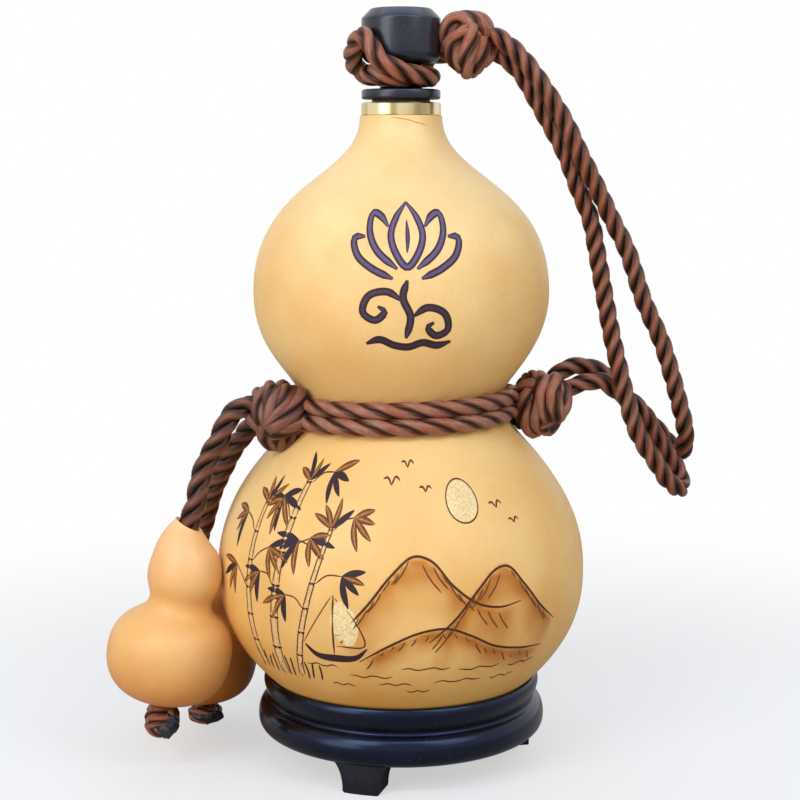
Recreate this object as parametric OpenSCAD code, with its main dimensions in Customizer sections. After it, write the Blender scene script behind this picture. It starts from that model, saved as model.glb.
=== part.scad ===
// Gourd water bottle on a turned stand: a dried two-bulb gourd with a push-in stopper,
// a laid cord that ties the stopper to the waist, and two small gourds on hanging cords.
// Millimetres, +Z up. The origin is on the floor, on the axis of the bottle.

/* [Gourd] */
// Radius of the lower bulb at its widest
belly_r = 63.7; // [60:0.5:68]
// Height of that widest place over the lowest point of the gourd
belly_h = 55.3; // [51:0.5:60]
// Radius of the waist between the bulbs
waist_r = 34.5; // [31:0.5:37]
// Height of the waist over the widest place of the lower bulb
waist_h = 58.3; // [55:0.5:63]
// Radius of the upper bulb at its widest
upper_r = 50.4; // [47:0.5:53]
// Height of the upper bulb's widest place over the waist
upper_h = 37.7; // [34:0.5:41]
// Outer radius of the neck at its cut end
neck_r = 13.9; // [13.5:0.1:15]
// Height of the cut end over the upper bulb's widest place
neck_h = 59.1; // [55:0.5:64]
// Thickness of the dried wall
wall = 3.6; // [2.5:0.1:4.5]
// Height of the blossom end's dimple
dimple_h = 3; // [1:0.5:4]

/* [Mouth and stopper] */
// Radius of the hole that the stopper goes into
mouth_r = 8.8; // [8:0.1:9.5]
// Wall of the liner in the neck
liner_wall = 1.5; // [1.2:0.1:1.8]
// Length of the liner
liner_len = 14; // [12:0.5:16]
// Outer radius of the mouth ring
ring_r = 13.5; // [12.8:0.1:14]
// Height of the mouth ring
ring_h = 4.4; // [3:0.1:6]
// Thickness of the washer under the stopper's flange
washer_h = 1; // [0.6:0.1:2]
// Radius of that washer
washer_r = 9.8; // [9.5:0.1:11]
// Radius of the stopper's knob
knob_r = 13.3; // [12:0.1:13.8]
// Height of the knob
knob_h = 18; // [15:0.5:20]
// Radius of the grooved neck under the knob
groove_r = 7; // [6:0.1:7.2]
// Height of that groove
groove_h = 8.6; // [8.4:0.1:9.5]
// Radius of the stopper's flange
flange_r = 13.3; // [12:0.1:13.8]
// Thickness of the flange
flange_h = 3.3; // [2.5:0.1:4.5]
// Radius of the tenon that carries the plug
tenon_r = 5; // [3.5:0.1:6]
// Length of the plug
plug_len = 12; // [9:0.5:13]

/* [Cords] */
// Diameter of the laid cord
cord_d = 6; // [5:0.1:6.2]
// Diameter of the cord where it is drawn tight round the stopper
loop_d = 5.6; // [4.8:0.1:5.8]
// Diameter of the cord where it is drawn tight round the waist
wrap_d = 5.4; // [4.6:0.1:5.6]
// Turns round the waist
wrap_turns = 2; // [1:1:3]
// Height that one turn drops
wrap_pitch = 5.9; // [5.9:0.05:6.2]
// Radius of a knot's rounded lobes
lobe_r = 6.5; // [5.5:0.1:6.6]
// Half the height of the knot under the front small gourd
end_knot_r = 5.4; // [4.6:0.1:5.8]
// Half the height of the flatter knot under the back one
flat_knot_r = 3.6; // [3:0.1:3.8]
// Length of the black end of each cord
tip_len = 3.5; // [2:0.5:5]

/* [Small gourds] */
// Length of the small gourd in front
small_len = 64.7; // [62:0.1:67]
// Size of the small gourd behind, as a share of the front one
small_back = 0.96; // [0.9:0.01:1]
// Radius of the small gourd's lower bulb
small_r = 20.9; // [18:0.1:21.2]
// Radius of its upper bulb
small_upper_r = 12.4; // [11.5:0.1:12.8]
// Radius between its bulbs
small_waist_r = 10.4; // [9.5:0.1:11]
// Radius of the hole drilled through it
small_hole_r = 3.4; // [3.35:0.05:3.8]
// Wall of the small gourds
small_wall = 2.2; // [1.6:0.1:3]

/* [Stand] */
// Height of the feet
foot_h = 10.6; // [8:0.1:12]
// How far the feet's outer faces stand in from the moulding
foot_inset = 4.2; // [2:0.1:6]
// Depth of a foot towards the axis
foot_depth = 10; // [8:0.5:11]
// Width of a foot at the floor
foot_w = 12.8; // [10:0.2:15]
// Width of a foot where it meets the ring
foot_top_w = 20; // [17:0.5:24]
// Radius of the tenon on each foot
foot_tenon_r = 2.5; // [1.5:0.1:3]
// Length of that tenon
foot_tenon_len = 4; // [3:0.5:5]
// How far the moulding stands out from the rim
moulding_out = 2; // [1:0.1:5]
// Height of the moulding
moulding_h = 10.4; // [9:0.1:11]
// Height of the turned ring
stand_ring_h = 20; // [19.5:0.1:21]
// Width of the rim's top outside the gourd
rim_lip = 1.5; // [0.9:0.1:2.5]
// Radius of the hole through the stand
stand_hole_r = 30; // [24:0.5:32]
// Drop of the gourd's lowest point under the top of the stand's rim
seat_drop = 18.6; // [17.5:0.1:19]

/* [Fits] */
// Gap all round the plug in its liner
plug_gap = 0.05; // [0.02:0.01:0.1]
// Gap of a glued round joint
glue_gap = 0.05; // [0.02:0.01:0.1]
// Gap between the gourd and the stand that it rests in
seat_gap = 0.3; // [0.2:0.05:0.5]
// Gap between a cord's end and the knot it leaves
cord_gap = 0.1; // [0.05:0.05:0.3]

/* [Hidden] */
$fn = 96;

// Heights of the stack, from the floor up
moulding_top = foot_h + moulding_h;
rim_top = foot_h + stand_ring_h;
gourd_z = rim_top - seat_drop;
belly_z = gourd_z + belly_h;
waist_z = belly_z + waist_h;
upper_z = waist_z + upper_h;
neck_z = upper_z + neck_h;
mouth_z = neck_z + ring_h;
washer_z = mouth_z + plug_gap;
flange_z = washer_z + washer_h;
groove_z = flange_z + flange_h;
knob_z = groove_z + groove_h;
knob_top = knob_z + knob_h;
liner_r = mouth_r + liner_wall;
neck_bore_r = liner_r + glue_gap;
liner_z = mouth_z - liner_len;

// Steps along each curved stretch of an outline
curve_steps = 12;

function bezier(a, b, c, d, n = curve_steps) =
    [for (i = [0 : n - 1]) let (u = i / n, v = 1 - u)
        v*v*v * a + 3*v*v*u * b + 3*v*u*u * c + u*u*u * d];
function unit(v) = v / norm(v);
function last(list) = list[len(list) - 1];
function reversed(list) = [for (i = [len(list) - 1 : -1 : 0]) list[i]];

// The outline moved sideways by d, to the right of its direction
function shifted(pts, d) =
    [for (i = [0 : len(pts) - 1])
        let (a = pts[max(i - 1, 0)], b = pts[min(i + 1, len(pts) - 1)], t = unit(b - a))
        pts[i] + d * [t[1], -t[0]]];

// Outside of the gourd, as [radius, height], from the dimple up to the cut neck
foot_ring_r = 14;
seat_r = 24;
seat_rise = 2.2;
low_handle = [30.7, 18];
gourd_outline = concat(
    bezier([0, gourd_z + dimple_h], [5, gourd_z + dimple_h],
           [foot_ring_r - 5, gourd_z], [foot_ring_r, gourd_z], 5),
    bezier([foot_ring_r, gourd_z], [foot_ring_r + 4, gourd_z],
           [seat_r - 3.4, gourd_z + seat_rise - 2], [seat_r, gourd_z + seat_rise], 4),
    bezier([seat_r, gourd_z + seat_rise], [seat_r, gourd_z + seat_rise] + low_handle,
           [belly_r, belly_z - 18.6], [belly_r, belly_z]),
    bezier([belly_r, belly_z], [belly_r, belly_z + 32.6],
           [waist_r, waist_z - 10.8], [waist_r, waist_z], 16),
    bezier([waist_r, waist_z], [waist_r, waist_z + 8.7],
           [upper_r, upper_z - 21.6], [upper_r, upper_z]),
    bezier([upper_r, upper_z], [upper_r, upper_z + 38],
           [neck_r, neck_z - 21.2], [neck_r, neck_z], 16),
    [[neck_r, neck_z]]);

// Inside of the shell: the outline drawn in by the wall, up to the thicker neck
neck_floor = liner_z - 2;
shoulder_z = neck_floor - 5;
inner_outline = [for (p = shifted(gourd_outline, -wall)) if (p[1] < shoulder_z && p[0] >= 0) p];

module gourd_shell()
    color("#d9a862")
    rotate_extrude()
    polygon(concat(
        gourd_outline,
        [[neck_bore_r, neck_z], [neck_bore_r, neck_floor]],
        [for (i = [len(inner_outline) - 1 : -1 : 1]) inner_outline[i]],
        [[0, inner_outline[1][1]]]));

module mouth_ring()
    color("#d8c389")
    rotate_extrude()
    polygon([
        [neck_bore_r, neck_z], [ring_r - 0.3, neck_z], [ring_r, neck_z + 0.3],
        [ring_r, mouth_z - 0.5], [ring_r - 0.5, mouth_z], [neck_bore_r, mouth_z]]);

module mouth_liner()
    color("#3a2c22")
    difference() {
        translate([0, 0, liner_z]) cylinder(r = liner_r, h = liner_len);
        translate([0, 0, liner_z - 1]) cylinder(r = mouth_r, h = liner_len + 2);
    }

// A quarter round from one angle to the other, for turned edges
function round_edge(cx, cz, r, from, to, n = 6) =
    [for (i = [0 : n]) let (a = from + (to - from) * i / n) [cx + r * cos(a), cz + r * sin(a)]];

knob_top_round = 2.6;
knob_low_round = 1.6;
groove_fillet = 1;
flange_round = 1;

module stopper_knob()
    color("#1b1a1d")
    rotate_extrude()
    polygon(concat(
        [[0, washer_z - plug_len], [tenon_r, washer_z - plug_len], [tenon_r, flange_z]],
        round_edge(flange_r - flange_round, flange_z + flange_round, flange_round, -90, 0),
        round_edge(flange_r - flange_round, groove_z - flange_round, flange_round, 0, 90),
        round_edge(groove_r + groove_fillet, groove_z + groove_fillet, groove_fillet, -90, -180),
        round_edge(groove_r + groove_fillet, knob_z - groove_fillet, groove_fillet, 180, 90),
        round_edge(knob_r - knob_low_round, knob_z + knob_low_round, knob_low_round, -90, 0),
        round_edge(knob_r - knob_top_round, knob_top - knob_top_round, knob_top_round, 0, 90),
        [[0, knob_top]]));

module stopper_plug()
    color("#9a6b43")
    difference() {
        translate([0, 0, washer_z - plug_len])
            cylinder(r = mouth_r - plug_gap, h = plug_len);
        translate([0, 0, washer_z - plug_len - 1])
            cylinder(r = tenon_r + glue_gap, h = plug_len + 2);
    }

module stopper_washer()
    color("#2c211f")
    difference() {
        translate([0, 0, washer_z]) cylinder(r = washer_r, h = washer_h);
        translate([0, 0, washer_z - 1]) cylinder(r = tenon_r + glue_gap, h = washer_h + 2);
    }

// A tube along points: rings square to the path, turned as little as possible
function tangent(p, i) = unit(p[min(i + 1, len(p) - 1)] - p[max(i - 1, 0)]);
function square_to(v, t) = unit(v - (v * t) * t);
function side_vectors(p, i, v) =
    i == len(p) ? [] :
    let (w = square_to(v, tangent(p, i))) concat([w], side_vectors(p, i + 1, w));
function first_side(t) = square_to(abs(t[1]) < 0.8 ? [0, 1, 0] : [1, 0, 0], t);

module tube(p, r, sides = 10) {
    n = len(p);
    w = side_vectors(p, 0, first_side(tangent(p, 0)));
    rings = [for (i = [0 : n - 1]) let (u = w[i], v = cross(tangent(p, i), u))
        for (k = [0 : sides - 1]) let (a = 360 * k / sides) p[i] + r * (cos(a) * u + sin(a) * v)];
    walls = [for (i = [0 : n - 2], k = [0 : sides - 1])
        let (a = i * sides + k, b = i * sides + (k + 1) % sides)
        each [[a, a + sides, b + sides], [a, b + sides, b]]];
    caps = [for (k = [1 : sides - 2])
        each [[0, k, k + 1], [(n - 1) * sides, (n - 1) * sides + k + 1, (n - 1) * sides + k]]];
    polyhedron(rings, concat(walls, caps), convexity = 6);
}

// A short round stub from a knot's middle to where a cord leaves it
module stub(from, path, r = cord_d / 2) {
    out = unit(path[1] - path[0]);
    face = path[0] - cord_gap * out;
    start = face - max(4, norm(face - from) - 2) * out;
    translate(start)
    rotate([0, acos(out[2]), atan2(out[1], out[0])])
    cylinder(r = r, h = norm(face - start), $fn = 24);
}

// A knot: rounded lobes drawn together
module knot(lobes)
    hull()
    for (l = lobes) translate([l[0], l[1], l[2]]) sphere(r = l[3], $fn = 20);

cord_brown = "#6a4030";

// The stopper's loop: from the top knot down behind the knob into the groove, round the
// right side and across the front, up the knob's left side, and back behind to the knot
loop_path = [
    [19.5, 6.5, 251], [14.5, 11.5, 250], [11, 14.5, 246.5], [9, 15, 242.5], [7.5, 14.3, 238.5],
    [6.5, 10.5, 235.8], [8.5, 5.5, 235.3], [10.1, 1, 235.2], [9.3, -4, 235.2],
    [6.3, -8.5, 235.4], [2.5, -12, 236], [-0.5, -14.3, 236.8], [-3.6, -15.5, 238.2],
    [-7.2, -15, 240.5], [-9.4, -13.8, 243.8], [-11, -12.4, 246.8], [-12.8, -10.4, 248.2],
    [-14.8, -7.2, 246.2], [-16.1, -2.5, 243.2], [-16.1, 2.2, 240.6], [-14.6, 6.2, 238.2],
    [-11.6, 8.4, 236.2], [-8, 9, 235.5], [-3, 10, 235.3], [0, 13, 236.5], [2, 17.5, 240],
    [6, 20.5, 243.5], [11, 22, 244], [17, 18.5, 244], [20.5, 12, 244]];

module stopper_loop() color(cord_brown) tube(loop_path, loop_d / 2, 8);

strap_inner_path = [
    [31.5, 3, 244], [36.5, 2, 240.5], [40.5, 1, 236.5], [43.5, 0.5, 231.5], [49.5, 0, 221],
    [55.5, 0, 210], [60, 0, 198.5], [64.5, -0.5, 187.5], [66.5, -1.5, 177.5],
    [69.5, -4, 160.5], [71.5, -6, 149.5], [74, -8, 138], [77, -8, 126.5], [80.5, -7.5, 115],
    [87.5, -6.5, 104], [90.5, -5.5, 99.5], [94.5, -3.5, 96], [97, -0.5, 94.5], [98.5, 2.5, 96],
    [98, 4, 99.5], [95.5, 4, 105], [92, 3, 110], [88.5, 2, 114.5], [85.5, 1, 119.5],
    [81, 0, 124], [77.5, -0.8, 126.5], [74.5, -1, 128.5], [71.5, -1.5, 131], [68, -2, 132.5],
    [64, -2, 132], [60, -2, 131], [57, -2.5, 129.5]];
strap_outer_path = [
    [32, -3.2, 248.2], [36, -4.5, 245.5], [40.5, -5.5, 241], [44.5, -6, 236],
    [54.5, -5.5, 221], [60, -5, 210], [66, -4, 198.5], [71.5, -3, 187.5], [77, -2, 177],
    [83, -1, 160], [89.5, 0, 146], [93, 0, 135.5], [96, 1, 125.5], [98.5, 2.5, 116.5],
    [99.5, 6, 110], [99, 9.5, 106], [97, 12, 106.5], [94, 12.5, 109.5], [91, 12, 113],
    [87, 10, 117], [82, 8, 122.5], [77.5, 6.5, 127], [72, 5, 133], [67, 3.5, 136],
    [62.5, 3, 137], [58, 3, 136.5], [54.5, 2, 134.5]];

module strap_cord_inner() color(cord_brown) tube(strap_inner_path, cord_d / 2);
module strap_cord_outer() color(cord_brown) tube(strap_outer_path, cord_d / 2);

// The knot of the loop stands against the knob, and both strap cords leave its right side
top_knot_x = knob_r + 1.2 + lobe_r;
top_knot_z = knob_z + 6.2;
module top_knot()
    color(cord_brown)
    union() {
        knot([[top_knot_x, 0, top_knot_z + 4.5, lobe_r], [top_knot_x, 0, top_knot_z - 4, lobe_r],
              [top_knot_x + 2.6, 2.6, top_knot_z, lobe_r],
              [top_knot_x + 2.6, -2.6, top_knot_z, lobe_r]]);
        stub([top_knot_x + 2, 2, top_knot_z], strap_inner_path);
        stub([top_knot_x + 2, -2, top_knot_z + 2], strap_outer_path);
    }

// The winding round the waist: a falling helix that bows out with the bulbs
wrap_clear = 0.65;
wrap_bow = 0.075;
wrap_rings = 24;
wrap_top = waist_z + 3.7;
wrap_r = waist_r + wrap_d / 2 + wrap_clear;
function wrap_point(turn) =
    let (z = wrap_top - wrap_pitch * turn, r = wrap_r + wrap_bow * pow(z - waist_z, 2),
         a = -360 * turn)
    [r * cos(a), r * sin(a), z];
wrap_middle = [for (i = [0 : wrap_rings * wrap_turns]) wrap_point(i / wrap_rings)];
wrap_path = concat(
    [wrap_middle[0] - wrap_d * unit(wrap_middle[1] - wrap_middle[0])],
    wrap_middle,
    [last(wrap_middle) + wrap_d * unit(last(wrap_middle) - wrap_middle[len(wrap_middle) - 2])]);
wrap_gap = min([for (i = [0 : len(wrap_middle) - 1], j = [i + 12 : 1 : len(wrap_middle) - 1])
    norm(wrap_middle[i] - wrap_middle[j])]) - wrap_d;
echo(least_gap_of_the_waist_winding = wrap_gap);

module waist_wrap() color(cord_brown) tube(wrap_path, wrap_d / 2, 6);

module right_knot()
    color(cord_brown)
    union() {
        knot([[wrap_r + 1.4 * cord_d, -cord_d / 2, waist_z + 0.8, lobe_r],
              [wrap_r + 1.6 * cord_d, -0.8 * cord_d, waist_z - 0.9 * cord_d, lobe_r - 1.3],
              [wrap_r + 2 * cord_d, -cord_d / 6, waist_z, lobe_r],
              [wrap_r + 1.7 * cord_d, cord_d / 3, waist_z + cord_d / 3, lobe_r - 0.5]]);
        stub([wrap_r + 1.8 * cord_d, -1, waist_z], reversed(strap_inner_path));
        stub([wrap_r + 1.8 * cord_d, 1, waist_z + 2], reversed(strap_outer_path));
    }

// The pendants' cords: from the left knot, down through a drilled gourd to an end knot
front_top = [-71.5, -20, 86];
front_low = [-81, -20, 22];
back_top = [-73.5, 22, 70];
back_low = [-71.5, 22, 8.5];
pendant_front_path = [
    [-51.5, -17.3, 126.2], [-54, -17.8, 125.2], [-57, -18, 123], [-59, -18.5, 119.5],
    [-61.5, -19, 114], [-64.5, -19, 109], [-66.5, -19.5, 104.5], [-68, -20, 99.5],
    [-69, -20, 93.5],
    front_top, front_low, front_low + 2.5 * unit(front_low - front_top)];
pendant_back_path = [
    [-48.5, -9, 120.5], [-51.5, -6, 116], [-54.5, -3, 111.5], [-57.5, 0, 106.5],
    [-59.5, 3, 102.5], [-62.5, 7, 97], [-65.5, 11, 91.5], [-68, 15, 85.5], [-70.5, 19, 79],
    [-72.5, 21.5, 74],
    back_top, back_low, back_low + 2.5 * unit(back_low - back_top)];

module pendant_cord_front() color(cord_brown) tube(pendant_front_path, cord_d / 2);
module pendant_cord_back() color(cord_brown) tube(pendant_back_path, cord_d / 2);

left_azimuth = 202;
module left_knot() {
    u = [cos(left_azimuth), sin(left_azimuth)];
    v = [cos(left_azimuth - 4.7), sin(left_azimuth - 4.7)];
    color(cord_brown)
    union() {
        knot([concat((wrap_r + cord_d) * u, [waist_z + 0.8, lobe_r]),
              concat((wrap_r + 1.4 * cord_d) * u, [waist_z - 1.25 * cord_d, lobe_r - 1.7]),
              concat((wrap_r + 1.5 * cord_d) * v, [waist_z + 0.5, lobe_r - 0.5])]);
        stub(concat((wrap_r + 1.3 * cord_d) * u, [waist_z]), pendant_front_path);
        stub(concat((wrap_r + 1.3 * cord_d) * v, [waist_z - cord_d / 2]), pendant_back_path);
    }
}

// A small gourd stands on its lowest point, with its drilled hole on its axis
small_end_r = 5;
small_top_r = 4.4;
small_outline = let (r = small_r, u = small_upper_r, w = small_waist_r,
                     a = 0.3 * small_len, b = 0.6 * small_len, c = 0.72 * small_len) concat(
    bezier([small_end_r, 0], [small_end_r + 8, 3.2], [r, a - 10.8], [r, a], 8),
    bezier([r, a], [r, a + 13.6], [w, b - 7], [w, b], 8),
    bezier([w, b], [w, b + 2.4], [u, c - 3.6], [u, c], 5),
    bezier([u, c], [u, c + 7.3], [small_top_r + 1, small_len - 2.4],
           [small_top_r, small_len], 8),
    [[small_top_r, small_len]]);
small_inner = [for (p = shifted(small_outline, -small_wall))
    if (p[0] > small_hole_r + 0.2 && p[1] > small_wall && p[1] < small_len - 4) p];

module small_gourd(low, top, size) {
    axis = unit(top - low);
    color("#d8935a")
    translate(low)
    rotate([0, acos(axis[2]), atan2(axis[1], axis[0])])
    rotate_extrude()
    polygon(concat(
        [for (p = small_outline) p * size],
        [[small_hole_r, small_len * size], [small_hole_r, last(small_inner)[1] * size]],
        [for (i = [len(small_inner) - 1 : -1 : 0]) small_inner[i] * size],
        [[small_hole_r, small_inner[0][1] * size], [small_hole_r, 0]]));
}
module small_gourd_front() small_gourd(front_low, front_top, 1);
module small_gourd_back() small_gourd(back_low, back_top, small_back);

// An end knot carries its gourd, and the sealed black end of the cord leaves its side
end_knot_width = 11.4;
function knot_middle(low, top, r) = low + (r + cord_gap) * unit(low - top);
module end_knot(middle, r)
    color("#3a2620")
    translate(middle)
    rotate_extrude($fn = 48)
    polygon(concat(
        [[0, -r]],
        round_edge(end_knot_width / 2 - 0.9 * r, -0.1 * r, 0.9 * r, -90, 0),
        round_edge(end_knot_width / 2 - 0.9 * r, 0.1 * r, 0.9 * r, 0, 90),
        [[0, r]]));
module cord_tip(middle, turn)
    color("#171314")
    translate(middle)
    rotate([0, 0, turn])
    translate([end_knot_width / 2 - 1.2, 0, 0])
    rotate([0, 90, 0])
    cylinder(r = cord_d / 2 - 0.4, h = tip_len, $fn = 24);

front_knot_middle = knot_middle(front_low, front_top, end_knot_r);
back_knot_middle = knot_middle(back_low, back_top, flat_knot_r);
module end_knot_front() end_knot(front_knot_middle, end_knot_r);
module end_knot_back() end_knot(back_knot_middle, flat_knot_r);
module cord_tip_front() cord_tip(front_knot_middle, 290);
module cord_tip_back() cord_tip(back_knot_middle, 335);

// The stand's dish follows the gourd, a seat gap off it, and the rim stands just outside
dish_skin = [for (p = shifted(gourd_outline, seat_gap)) if (p[0] > seat_r && p[1] < belly_z) p];
dish_top = rim_top - 0.3;
dish_r = lookup(dish_top, [for (p = dish_skin) [p[1], p[0]]]);
dish_outline = concat(
    [[stand_hole_r, lookup(stand_hole_r, dish_skin)]],
    [for (p = dish_skin) if (p[0] > stand_hole_r + 0.5 && p[1] < dish_top - 0.5) p],
    [[dish_r, dish_top]]);
rim_r = dish_r + rim_lip;
moulding_r = rim_r + moulding_out;
foot_r = moulding_r - foot_inset;
rim_round = 0.6;
groove_depth = 0.9;
echo(rim_radius = rim_r, moulding_radius = moulding_r, foot_radius = foot_r);
moulding_mid = foot_h + moulding_h * 0.45;

module ring_body()
    rotate_extrude()
    polygon(concat(
        [[stand_hole_r, foot_h], [moulding_r - 3, foot_h]],
        bezier([moulding_r - 3, foot_h], [moulding_r - 0.9, foot_h + 0.6],
               [moulding_r, moulding_mid - 2.4], [moulding_r, moulding_mid], 6),
        bezier([moulding_r, moulding_mid], [moulding_r, moulding_mid + 2.6],
               [rim_r + 0.6, moulding_top - 1], [rim_r - groove_depth, moulding_top], 6),
        [[rim_r - groove_depth, moulding_top], [rim_r, moulding_top + 1],
         [rim_r - 0.4, rim_top - 2]],
        [[rim_r - 0.7, rim_top - rim_round], [rim_r - 1, rim_top - 0.1]],
        [for (i = [len(dish_outline) - 1 : -1 : 0]) dish_outline[i]]));

foot_angles = [253, 13, 133];
foot_mid_r = foot_r - foot_depth / 2;

module stand_ring()
    color("#19191b")
    difference() {
        ring_body();
        for (a = foot_angles)
            rotate([0, 0, a])
            translate([foot_mid_r, 0, foot_h - 1])
            cylinder(r = foot_tenon_r + glue_gap, h = foot_tenon_len + 1 + glue_gap, $fn = 48);
    }

// A foot: a curved bracket whose sides sweep in towards the floor, with a tenon on top
module stand_foot(i) {
    sweep = (foot_top_w - foot_w) / 2;
    half = concat(
        [[foot_w / 2 - 0.6, 0], [foot_w / 2, 0.6]],
        bezier([foot_w / 2, 0.6], [foot_w / 2, foot_h * 0.55],
               [foot_w / 2 + sweep * 0.45, foot_h * 0.85], [foot_top_w / 2, foot_h], 8),
        [[foot_top_w / 2, foot_h]]);
    color("#222225")
    rotate([0, 0, foot_angles[i - 1]])
    union() {
        intersection() {
            difference() {
                cylinder(r = foot_r, h = foot_h);
                translate([0, 0, -1]) cylinder(r = foot_r - foot_depth, h = foot_h + 2);
            }
            rotate([90, 0, 90])
            linear_extrude(foot_r + 5)
            polygon(concat(half, [for (j = [len(half) - 1 : -1 : 0]) [-half[j][0], half[j][1]]]));
        }
        translate([foot_mid_r, 0, foot_h - 1])
            cylinder(r = foot_tenon_r, h = foot_tenon_len + 1, $fn = 48);
    }
}
module stand_foot_1() stand_foot(1);
module stand_foot_2() stand_foot(2);
module stand_foot_3() stand_foot(3);

gourd_shell();
mouth_ring();
mouth_liner();
stopper_knob();
stopper_plug();
stopper_washer();
stopper_loop();
top_knot();
strap_cord_inner();
strap_cord_outer();
right_knot();
waist_wrap();
left_knot();
pendant_cord_front();
pendant_cord_back();
small_gourd_front();
small_gourd_back();
end_knot_front();
end_knot_back();
cord_tip_front();
cord_tip_back();
stand_ring();
stand_foot_1();
stand_foot_2();
stand_foot_3();
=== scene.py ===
# Gourd bottle on its stand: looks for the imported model. Blender 4.5, metres, +Z up.
import random
from functools import partial
from math import atan2, cos, exp, hypot, pi, radians, sin, sqrt

import bpy
import numpy as np
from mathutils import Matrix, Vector, noise


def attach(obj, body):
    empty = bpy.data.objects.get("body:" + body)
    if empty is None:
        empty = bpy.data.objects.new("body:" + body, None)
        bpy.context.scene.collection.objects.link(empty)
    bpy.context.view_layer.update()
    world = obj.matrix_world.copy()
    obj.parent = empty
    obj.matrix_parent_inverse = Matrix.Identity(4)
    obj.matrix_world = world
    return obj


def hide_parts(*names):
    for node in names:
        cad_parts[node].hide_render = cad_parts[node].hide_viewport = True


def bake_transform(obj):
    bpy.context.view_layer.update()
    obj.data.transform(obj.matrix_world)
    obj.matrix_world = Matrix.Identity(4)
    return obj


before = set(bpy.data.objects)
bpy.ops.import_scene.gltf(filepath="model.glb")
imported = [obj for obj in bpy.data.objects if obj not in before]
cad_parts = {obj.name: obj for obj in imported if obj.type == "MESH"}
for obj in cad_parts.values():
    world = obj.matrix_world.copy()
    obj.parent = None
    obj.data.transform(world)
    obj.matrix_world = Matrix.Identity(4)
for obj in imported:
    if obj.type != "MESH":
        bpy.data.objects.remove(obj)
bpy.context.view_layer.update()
mm = 0.001
scene = bpy.context.scene
scene.view_settings.view_transform = "Standard"
print("frame loaded:", len(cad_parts), "nodes")


# Camera, floor and light

view = {
    "distance": 580 * mm,     # from the bottle's axis
    "height": 208.6 * mm,
    "pitch": 8.15,            # degrees below the horizon
    "lens": 76.3,             # on a 36 mm sensor
    "aim": -0.35 * mm,        # sideways shift of the camera
}

cameraData = bpy.data.cameras.new("camera")
cameraData.lens = view["lens"]
cameraData.sensor_width = 36
cameraData.clip_start = 0.01
camera = bpy.data.objects.new("camera", cameraData)
scene.collection.objects.link(camera)
camera.location = (view["aim"], -view["distance"], view["height"])
camera.rotation_euler = (radians(90 - view["pitch"]), 0, 0)
scene.camera = camera


def hexColour(text):   # sRGB hex to linear RGBA
    channels = [int(text[i:i + 2], 16) / 255 for i in (1, 3, 5)]
    return [c / 12.92 if c <= 0.04045 else ((c + 0.055) / 1.055) ** 2.4 for c in channels] + [1]


def setInputs(node, inputs):   # numbers and hex colours are set, nodes and sockets are linked
    for name, value in inputs.items():
        if isinstance(value, bpy.types.Node):
            value = value.outputs[0]
        if isinstance(value, bpy.types.NodeSocket):
            node.id_data.links.new(value, node.inputs[name])
        else:
            node.inputs[name].default_value = hexColour(value) if isinstance(value, str) else value


def addNode(owner, kind, inputs=None, stops=None, **settings):
    node = owner.node_tree.nodes.new("ShaderNode" + kind)
    for name, value in settings.items():
        setattr(node, name, value)
    setInputs(node, inputs or {})
    if stops:
        ramp = node.color_ramp
        while len(ramp.elements) < len(stops):
            ramp.elements.new(0.5)
        for element, (place, colour) in zip(ramp.elements, stops):
            element.position = place
            element.color = hexColour(colour)
    return node


# A material with its shader, the place on the object, and addNode for this material
def newMaterial(name):
    material = bpy.data.materials.new(name)
    material.use_nodes = True
    add = partial(addNode, material)
    return (material, material.node_tree.nodes["Principled BSDF"],
            add("TexCoord").outputs["Object"], add)


lights = [
    # name, place in metres, width, depth, watts, colour
    ("key", (-0.55, -0.78, 0.68), 0.6, 0.6, 3.9, (1.0, 0.97, 0.93)),
    ("window", (-0.8, -0.75, 0.2), 0.6, 0.6, 2.9, (1.0, 0.96, 0.92)),
    ("fill", (0.7, -0.74, 0.8), 0.8, 0.8, 3.9, (1.0, 0.98, 0.95)),
    ("sky", (0.02, -0.62, 0.82), 1.5, 0.08, 3.7, (0.42, 0.65, 1.0)),
    ("rim", (0.0, 0.25, 1.0), 0.9, 0.5, 1.7, (0.5, 0.7, 1.0)),
]
lampAim = Vector((0, 0, 0.12))
for name, place, width, depth, watts, colour in lights:
    lampData = bpy.data.lights.new(name, "AREA")
    lampData.shape = "ELLIPSE"
    lampData.size = width
    lampData.size_y = depth
    lampData.energy = watts
    lampData.color = colour
    lamp = bpy.data.objects.new(name, lampData)
    scene.collection.objects.link(lamp)
    lamp.location = place
    lamp.rotation_euler = (lampAim - Vector(place)).to_track_quat("-Z", "Y").to_euler()

# The world is white where it is seen, straight on or in a gloss, and dimmer as a light
world = bpy.data.worlds.new("world")
scene.world = world
world.use_nodes = True
rays = addNode(world, "LightPath").outputs
gloss = addNode(world, "Math", {0: rays["Is Glossy Ray"], 1: rays["Is Transmission Ray"]},
                operation="MAXIMUM")
seen = addNode(world, "Math", {0: rays["Is Camera Ray"], 1: gloss}, operation="MAXIMUM")
strength = addNode(world, "MapRange", {"Value": seen, "To Min": 0.39, "To Max": 1.0})
setInputs(world.node_tree.nodes["Background"], {"Color": "#ffffff", "Strength": strength})


def deselectAll():
    if bpy.context.mode != "OBJECT":
        bpy.ops.object.mode_set(mode="OBJECT")
    bpy.ops.object.select_all(action="DESELECT")


def activate(obj):
    deselectAll()
    obj.select_set(True)
    bpy.context.view_layer.objects.active = obj


def settle(obj):   # puts a finished object's place into its mesh
    activate(obj)
    bpy.ops.object.transform_apply(location=True, rotation=True, scale=True)


def joinInto(obj, others):
    activate(obj)
    for other in others:
        other.select_set(True)
    bpy.ops.object.join()


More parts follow.
